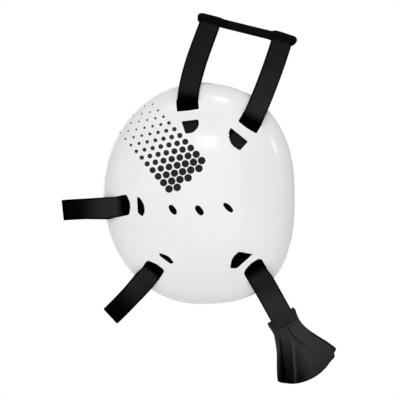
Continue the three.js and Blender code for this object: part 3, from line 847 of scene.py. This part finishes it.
def woven_black(name, half_width, near, far, tail, end=1.0):
    """Webbing with ribs across it and cords along it, on its own along and across attributes. Its colour
    holds painted light and shade: near and far each give two reaches and the painted tone there, nearly
    black where the strap goes into its slot, tail is the painted tone of the webbing inside the shell,
    and end is the reach of an end that is sewn down, with a short painted shade line before it."""
    finish, shader, wire = new_finish(name, Roughness=0.7, Specular_IOR_Level=0.0)
    along = wire.node("Attribute", {"attribute_name": "along"}, output="Fac")
    across = wire.node("Attribute", {"attribute_name": "across"}, output="Fac")
    reach = wire.node("Attribute", {"attribute_name": "reach"}, output="Fac")
    off_middle = wire.maths("ABSOLUTE", across)
    strand = across / cord_width
    row = wire.maths("FLOOR", strand)
    offset = wire.maths("MODULO", wire.maths("ABSOLUTE", row), 2.0) * 0.5
    ribs = wire.maths("SINE", (along / rib_pitch + offset) * (2 * math.pi)) * 0.5 + 0.5
    cords = wire.maths("SINE", wire.maths("FRACT", strand) * math.pi)
    weave = ribs * 0.6 + cords * 0.4
    fuzz = noise(wire, 700.0, 3.0)
    edge = ease(off_middle, half_width - firm_edge[0], half_width - firm_edge[1])
    edge = edge * ease(reach, end - firm_edge_end[0], end - firm_edge_end[1], 1.0, 0.3)

    tone = weave * 0.6 + ease(noise(wire, 55.0, 3.0), 0.25, 0.75) * 0.4
    body = mixed(tone, (0.0085, 0.0085, 0.0087, 1), (0.0175, 0.0175, 0.0178, 1))
    # Painted light and shade on the reach: nearly black where the strap goes into its slot, lifted past
    # it, and further on lifted on some straps and darkened on others, where they turn away from the
    # light.
    lit = ease(reach, near[0], near[1], 0.03, near[2]) * ease(reach, far[0], far[1], 1.0, far[2])
    # A short painted shade line just before the sewn end, where the strap's end lies on the cup; it fades
    # towards the strap's edges.
    end_shade_line = ease(reach, end - end_shade_start[0], end - end_shade_start[1])
    end_shade_line = end_shade_line * ease(reach, end - end_shade_stop[0], end - end_shade_stop[1], 1.0, 0.0)
    lit = lit * (1 - end_shade_line * ease(off_middle, *end_shade_half_width, 0.85, 0.15))
    # Painted light and shade inside the shell, where the webbing shows through the windows, set by tail
    # for each strap.
    lit = lit + ease(reach, *tail_reach, tail, 0.0)
    # Painted shade on the crown straps beside the crown bar.
    sideways = wire.maths("ABSOLUTE", axis(wire.node("TexCoord", output="Object"), 1))
    shade = lit * ease(sideways, *bar_shade, 0.38, 1.0) * (1 - edge * 0.85)
    wire.node("VectorMath", {"operation": "SCALE"}, {0: body, "Scale": shade}).feed(
        shader.inputs["Base Color"]
    )
    (0.60 + weave * 0.12 + fuzz * 0.1).feed(shader.inputs["Roughness"])
    relief = weave * (1 - edge * 0.7) + fuzz * 0.25 + edge * 0.4
    bump(wire, relief, 0.00028, 0.8).feed(shader.inputs["Normal"])
    return finish


# Lit and shaded copies of one black webbing: they differ in their painted light and shade, besides width
# and the chin straps' sewn end.
crown_rear_webbing = woven_black(
    "crown_rear_webbing", crown_web / 2, (0.0084, 0.0167, 1.15), (0.020, 0.080, 0.9), 1.3,
)
crown_front_webbing = woven_black(
    "crown_front_webbing", crown_web / 2, (0.0064, 0.0152, 1.75), (0.030, 0.090, 0.62), 1.7,
)
back_webbing = woven_black(
    "back_webbing", back_web / 2, (0.0040, 0.0090, 2.0), (0.013, 0.080, 0.08), 0.2,
)
nape_webbing = woven_black(
    "nape_webbing", back_web / 2, (0.0050, 0.0085, 1.55), (0.029, 0.088, 0.10), 0.05,
)
chin_webbing = woven_black(
    "chin_webbing", chin_web / 2, (0.0030, 0.0120, 1.25), (0.014, 0.050, 1.95), 0.05, 0.0798,
)
even = (0.0, 0.0)
straps = [
    # node, finish, length of the tail, and how much wider its halves are near the slot and further on
    ("crown_strap_front", crown_front_webbing, 0.0228, even, even),
    ("crown_strap_rear", crown_rear_webbing, 0.0225, even, even),
    ("back_strap", back_webbing, 0.0178, (0.0005, 0.0012), (0.0005, 0.0001)),
    ("nape_strap", nape_webbing, 0.0157, (0.0010, 0.0003), (0.0005, 0.0)),
    ("chin_strap_left", chin_webbing, 0.0191, (0.0008, 0.0), (0.0008, 0.0)),
    ("chin_strap_right", chin_webbing, 0.0191, (0.0008, 0.0), (0.0008, 0.0)),
]
strap_frames = {}
for node, finish, tail, near, far in straps:
    web, strap_frames[node] = webbing_strap(node, tail, node.startswith("chin"), near, far)
    piece(node.replace("strap", "webbing"), web, [finish], [node])

# Crown bar. A strip of padding in a coated fabric cover joins the two crown straps on top of the head.
# Its cover is turned back at each end into a loop that the strap runs through, and stitched down.
bar_slope = math.radians(-14)
bar_width = 0.020
bar_round = 0.0013
passage_tuck = 0.0005
passage_clear = 0.00012
ridge_pitch = 0.0017
bar_outline = [
    # along the bar and up from its underside, from the rear end over the top
    (-0.0336, 0.0), (-0.0350, 0.0010), (-0.0356, 0.0042), (-0.0351, 0.0057), (-0.0324, 0.0066),
    (-0.0205, 0.0065), (-0.0176, 0.0059), (0.0155, 0.0060), (0.0182, 0.0070), (0.0213, 0.0071),
    (0.0320, 0.0063), (0.0337, 0.0051), (0.0342, 0.0036), (0.0335, 0.0014), (0.0318, -0.0005),
    (0.0175, -0.0005), (0.0150, 0.0),
]

bar = bmesh.new()
side = bar.faces.new([bar.verts.new((u, -bar_width / 2, w)) for u, w in bar_outline])
extruded = bmesh.ops.extrude_face_region(bar, geom=[side])["geom"]
far_side = [part for part in extruded if isinstance(part, bmesh.types.BMVert)]
bmesh.ops.translate(bar, verts=far_side, vec=(0.0, bar_width, 0.0))
bmesh.ops.recalc_face_normals(bar, faces=bar.faces)
bmesh.ops.transform(bar, matrix=Matrix.Rotation(-bar_slope, 4, "Y"), verts=bar.verts)
passages = bmesh.new()
for node in ("crown_strap_front", "crown_strap_rear"):
    before = None
    for station in strap_frames[node]:
        if abs(station["middle"].y) > bar_width:
            continue
        half_width = station["across"] * (crown_web / 2 - passage_tuck)
        half_height = station["out"] * (web_thick / 2 + passage_clear)
        corners = [
            station["middle"] + half_width * a + half_height * b
            for a, b in ((-1, -1), (1, -1), (1, 1), (-1, 1))
        ]
        ring = [passages.verts.new(corner) for corner in corners]
        edges = [passages.edges.new((ring[k], ring[(k + 1) % 4])) for k in range(4)]
        if before:
            bmesh.ops.bridge_loops(passages, edges=before + edges)
        else:
            bmesh.ops.contextual_create(passages, geom=edges)
        before = edges
    bmesh.ops.contextual_create(passages, geom=before)
bmesh.ops.recalc_face_normals(passages, faces=passages.faces)
passage_mesh = bpy.data.meshes.new("passages")
passages.to_mesh(passage_mesh)
passage_object = bpy.data.objects.new("passages", passage_mesh)
scene.collection.objects.link(passage_object)
bar = shaped(bar, [
    ("BEVEL", {
        "width": bar_round, "segments": 4, "limit_method": "ANGLE", "angle_limit": math.radians(50),
    }),
    ("BOOLEAN", {"operation": "DIFFERENCE", "solver": "EXACT", "object": passage_object}),
])
bpy.data.objects.remove(passage_object)
bpy.data.meshes.remove(passage_mesh)
bmesh.ops.triangulate(bar, faces=[f for f in bar.faces if len(f.verts) > 4])
smooth(bar, 40)

cover, cover_shader, cover_wire = new_finish("coated_cover", Roughness=0.5, Specular_IOR_Level=0.0)
bar_place = cover_wire.node("Mapping", {"vector_type": "TEXTURE"}, {
    "Vector": cover_wire.node("TexCoord", output="Object"),
    "Rotation": (0.0, -bar_slope, 0.0),
})
ridges = cover_wire.maths("SINE", axis(bar_place, 1) * (2 * math.pi / ridge_pitch)) * 0.5 + 0.5
mottle = ease(noise(cover_wire, 160.0, 3.0), 0.3, 0.75)
cover_tone = ridges * 0.5 + mottle * 0.5
mixed(cover_tone, (0.0010, 0.0010, 0.0010, 1), (0.0085, 0.0085, 0.0085, 1)).feed(
    cover_shader.inputs["Base Color"]
)
(0.42 + mottle * 0.18).feed(cover_shader.inputs["Roughness"])
cover_relief = ridges * 0.5 + noise(cover_wire, 800.0, 2.0) * 0.5
bump(cover_wire, cover_relief, 0.0003, 0.7).feed(cover_shader.inputs["Normal"])
piece("crown_bar_padding", bar, [cover], ["crown_bar"])

# Chin cup. It is moulded in soft black rubber, whose slight sheen is painted light in its colour: a
# narrow neck up each cheek, which spreads into a bowl under the chin, with a rib down each side and a
# crease towards the front.
cup_wall = 0.004
cup_edge_round = 0.0011
neck_forward = 0.0559
neck_drop = 0.084
neck_width = 0.020
neck_angle = math.radians(30)
neck_half_span = 0.051
chin_forward = 0.0618
chin_drop = 0.097
chin_radius = 0.0326
chin_arc_front = math.radians(-15)
chin_arc_rear = math.radians(-104)
chin_middle = guard_middle + Vector((chin_forward, 0.0, -chin_drop))
neck_turn = math.radians(30)
cup_waist = 0.004
cup_taper = 1.2
neck_trim = {"front": 0.012, "rear": 0.024}

# The lines of the cup's features. Each gives the strip, from the front edge at 0 to the rear edge at 1,
# at a share of the way down from the neck to the chin.
rib_line = [
    (0.0, 0.44), (0.29, 0.53), (0.42, 0.60), (0.50, 0.618), (0.58, 0.655), (0.66, 0.688), (0.77, 0.712),
    (0.90, 0.742), (1.0, 0.77),
]
hollow_line = [(0.0, 0.84), (0.20, 0.855), (0.33, 0.905), (0.50, 0.918), (0.70, 0.912), (1.0, 0.905)]
crease_line = [
    (0.0, 0.46), (0.19, 0.465), (0.30, 0.465), (0.40, 0.415), (0.51, 0.355), (0.64, 0.305), (1.0, 0.2),
]
front_line = [(0.0, -0.05), (0.13, -0.065), (0.30, -0.035), (0.43, -0.008), (0.62, 0.0), (1.0, 0.0)]
rear_line = [
    (0.0, 1.05), (0.12, 1.08), (0.18, 1.07), (0.30, 1.048), (0.53, 1.02), (0.83, 1.013), (1.0, 1.013),
]
rib_height = 0.0009
rib_spread = 0.030
hollow_depth = 0.0012
hollow_spread = 0.105
crease_depth = 0.0010
crease_spread = 0.022
corner_round = 0.0009
notch_depth = 0.0006

# The painted light and shade of the moulding down the cup: before the rib and in the valley beside it,
# on the rib, behind it and along the rear edge.
front_light = [
    (0.0, 1.4), (0.42, 1.44), (0.50, 1.38), (0.66, 1.34), (0.82, 1.28), (0.90, 1.18), (1.0, 1.0),
]
valley_light = [
    (0.0, 1.0), (0.42, 1.0), (0.50, 0.75), (0.66, 0.50), (0.82, 0.35), (0.90, 0.20), (1.0, 0.15),
]
rib_light = [
    (0.0, 1.3), (0.30, 1.35), (0.50, 2.2), (0.58, 2.5), (0.74, 1.8), (0.84, 1.55), (0.92, 0.9),
    (1.0, 0.7),
]
rear_light = [
    (0.0, 1.35), (0.25, 1.28), (0.42, 0.83), (0.58, 0.49), (0.74, 0.27), (0.84, 0.24), (1.0, 0.05),
]
edge_light = [
    (0.0, 1.3), (0.42, 1.35), (0.50, 1.75), (0.58, 0.8), (0.74, 0.6), (0.82, 0.45), (1.0, 0.12),
]


def hump(value, centre, width):
    """A soft bump, 1 at its centre."""
    return math.exp(-(((value - centre) / width) ** 2))


def cup_point(strip, turn):
    """The cup's outer face on the left, from the front edge, strip 0, to the rear edge, strip 1."""
    across = Vector((math.cos(neck_angle), math.sin(neck_angle)))
    neck = Vector((neck_forward, -neck_drop)) + across * (0.5 - strip) * neck_width
    arc = chin_arc_front + (chin_arc_rear - chin_arc_front) * strip
    chin = Vector((chin_forward, -chin_drop)) + Vector((math.cos(arc), math.sin(arc))) * chin_radius
    down = max((math.sin(turn) - math.sin(neck_turn)) / (1 - math.sin(neck_turn)), 0.0)
    pinch = down * (1 - down) ** 2 * 27 / 4
    place = neck.lerp(chin, down) + across * (strip - 0.5) * 2 * cup_waist * pinch
    y = neck_half_span * max(math.cos(turn) / math.cos(neck_turn), 0.0) ** cup_taper
    return Vector((place.x, y, place.y)) + guard_middle, down


def on_line(line, down):
    """What a feature's line, or its light, gives at a share of the way down."""
    for (low, first), (high, second) in zip(line, line[1:]):
        if down <= high:
            return first + (second - first) * (down - low) / (high - low)
    return line[-1][1]


def cup_relief(strip, down):
    """How far the face rises at a place, how far it is drawn in towards the chin, and its crease."""
    begun = min(down * 5, 1.0)
    rib = hump(strip, on_line(rib_line, down), rib_spread) * begun * min(down * 3, 1.0)
    hollow = hump(strip, on_line(hollow_line, down), hollow_spread) * begun
    crease = hump(strip, on_line(crease_line, down), crease_spread) * hump(down, 0.36, 0.24)
    rise = rib * rib_height * (1 - down ** 8) - hollow * hollow_depth - crease * crease_depth
    low = eased(down, 0.8, 1.0)
    notch = hump(strip, 0.065, 0.018) - 1.5 * hump(strip, 0.12, 0.045)
    rear_corner = eased(strip, 0.93, 1.03) ** 2 * down ** 3 - hump(strip, 0.9, 0.12) * low
    return rise, notch_depth * notch * low + corner_round * rear_corner, crease


def cup_light(strip, down, share, crease):
    """The painted light and shade of the moulding at a place: a painted highlight on the rib, painted
    shade in the hollow behind it, in the crease and along the edges.
    """
    past_rib = strip - on_line(rib_line, down)
    valley = blend(1.0, on_line(valley_light, down), eased(past_rib, -0.26, -0.05))
    front = on_line(front_light, down) * valley
    light = blend(front, on_line(rear_light, down), eased(past_rib, 0.0, 0.05))
    on_rib = hump(past_rib, 0.0, 0.018) * eased(down, 0.30, 0.42)
    light = blend(light, on_line(rib_light, down), on_rib)
    hollow_shade_width = blend(0.022, 0.048, eased(down, 0.40, 0.90))
    hollow_shade = hump(strip, on_line(hollow_line, down), hollow_shade_width) * eased(down, 0.22, 0.34)
    # Painted shade in the hollow and in the crease.
    light *= (1 - 0.93 * hollow_shade) * (1 - 0.6 * crease)
    # Painted light and shade along the rear edge, and painted shade where the cup turns under at the
    # bottom and along the front edge.
    light = blend(light, on_line(edge_light, down), eased(strip, 0.958, 0.978))
    light *= 1 - 0.85 * eased(down, 0.975, 0.995)
    return light * blend(0.12, 1.0, eased(share, 0.005, 0.045))


def cup_face(share, turn):
    """A place on the outer face, a share of the way from its front edge to its rear one, and the painted
    light and shade there."""
    probe = 0.01
    down = cup_point(share, turn)[1]
    strip = blend(on_line(front_line, down), on_line(rear_line, down), share)
    point = cup_point(strip, turn)[0]
    a = cup_point(strip, min(turn + probe, math.pi / 2))[0] - cup_point(strip, turn - probe)[0]
    b = cup_point(strip + probe, turn)[0] - cup_point(strip - probe, turn)[0]
    normal = a.cross(b).normalized()
    rise, inwards, crease = cup_relief(strip, down)
    point = point + normal * rise + (chin_middle - point).normalized() * inwards
    return point, cup_light(strip, down, share, crease)


cup = bmesh.new()
# Each place keeps its painted light and shade in the light attribute.
light_layer = cup.verts.layers.float.new("light")
rearward_layer = cup.verts.layers.float.new("rearward")
bmesh.ops.create_grid(cup, x_segments=90, y_segments=120, size=1.0)
for vert in cup.verts:
    share = (vert.co.x + 1) / 2
    climb = abs(vert.co.y)
    first_turn = neck_turn + blend(neck_trim["front"], neck_trim["rear"], share)
    turn = math.pi / 2 - climb * (math.pi / 2 - first_turn)
    point, light = cup_face(share, turn)
    vert[light_layer] = light
    vert[rearward_layer] = share
    vert.co = Vector((point.x, math.copysign(point.y, vert.co.y) if climb > 1e-6 else 0.0, point.z))
bmesh.ops.recalc_face_normals(cup, faces=cup.faces)
if sum(face.normal.z for face in cup.faces) > 0:
    bmesh.ops.reverse_faces(cup, faces=cup.faces)
cup = shaped(cup, [
    ("SOLIDIFY", {"thickness": cup_wall, "offset": -1.0, "use_even_offset": False}),
    ("BEVEL", {
        "width": cup_edge_round, "segments": 3, "limit_method": "ANGLE",
        "angle_limit": math.radians(50),
    }),
])
smooth(cup, 50)

rubber, rubber_shader, rubber_wire = new_finish("moulded_rubber", Roughness=0.45, Specular_IOR_Level=0.0)
bloom = ease(noise(rubber_wire, 38.0, 4.0), 0.3, 0.75)
painted_light = rubber_wire.node("Attribute", {"attribute_name": "light"}, output="Fac")
rearward = rubber_wire.node("Attribute", {"attribute_name": "rearward"}, output="Fac")
tint = mixed(ease(rearward, 0.3, 0.6), (0.0285, 0.0285, 0.0285, 1), (0.0245, 0.0285, 0.0280, 1))
bloomed = mixed(bloom * 0.3, tint, (0.034, 0.036, 0.0358, 1))
# The light attribute scales the colour: painted light and shade.
scaled = painted_light.node("VectorMath", {"operation": "SCALE"}, {0: bloomed, "Scale": painted_light})
scaled.feed(rubber_shader.inputs["Base Color"])
(0.36 + bloom * 0.16).feed(rubber_shader.inputs["Roughness"])
skin = noise(rubber_wire, 1400.0, 2.0) * 0.5 + noise(rubber_wire, 90.0, 2.0) * 0.5
bump(rubber_wire, skin, 0.00035, 0.5).feed(rubber_shader.inputs["Normal"])
piece("chin_cup_moulding", cup, [rubber], ["chin_cup"])

# Stitching. Black bonded thread holds each chin strap down on the cup's neck, in a row across its end
# and a row where it meets the neck, and closes the loops of the crown bar beside each strap.
stitch_length = 0.0021
stitch_thick = 0.00055
stitch_pitch = 0.0029
chin_stitches = 4
chin_seam_insets = (0.0013, 0.0044)
bar_stitches = 6
bar_seam_places = (-0.0165, 0.0145)
bar_seam_heights = (0.0059, 0.0001)


def add_seam(bm, middle, along, out, count):
    """A row of stitches, each a small bead that lies along the seam."""
    side = out.cross(along).normalized()
    turn = Matrix((along, side, out)).transposed().to_4x4()
    size = Matrix.Diagonal((stitch_length / 2, stitch_thick / 2, stitch_thick / 2, 1.0))
    for k in range(count):
        place = Matrix.Translation(middle + along * ((k - (count - 1) / 2) * stitch_pitch))
        bmesh.ops.create_uvsphere(
            bm, u_segments=8, v_segments=6, radius=1.0, matrix=place @ turn @ size,
        )


thread, thread_shader, thread_wire = new_finish("bonded_thread", Roughness=0.5, Specular_IOR_Level=0.2)
twist = ease(noise(thread_wire, 1500.0, 1.0), 0.3, 0.7)
mixed(twist, (0.003, 0.003, 0.003, 1), (0.014, 0.014, 0.014, 1)).feed(
    thread_shader.inputs["Base Color"]
)
(0.42 + twist * 0.2).feed(thread_shader.inputs["Roughness"])

for side in ("left", "right"):
    frames = strap_frames[f"chin_strap_{side}"]
    seams = bmesh.new()
    for inset in chin_seam_insets:
        seam_length = frames[-1]["length"] - inset
        station = min(frames, key=lambda place: abs(seam_length - place["length"]))
        out = station["out"]
        if out.y * station["middle"].y < 0:
            out = -out
        middle = station["middle"] + out * (web_thick / 2 + stitch_thick * 0.1)
        add_seam(seams, middle, station["across"], out, chin_stitches)
    smooth(seams, 60)
    piece(f"chin_seam_{side}", seams, [thread])

bar_along = Vector((math.cos(bar_slope), 0.0, math.sin(bar_slope)))
bar_across = Vector((0.0, 1.0, 0.0))
bar_out = Vector((-bar_along.z, 0.0, bar_along.x))
seams = bmesh.new()
for place in bar_seam_places:
    for height, out in zip(bar_seam_heights, (bar_out, -bar_out)):
        add_seam(seams, bar_along * place + bar_out * height, bar_across, out, bar_stitches)
smooth(seams, 60)
piece("crown_bar_seams", seams, [thread])
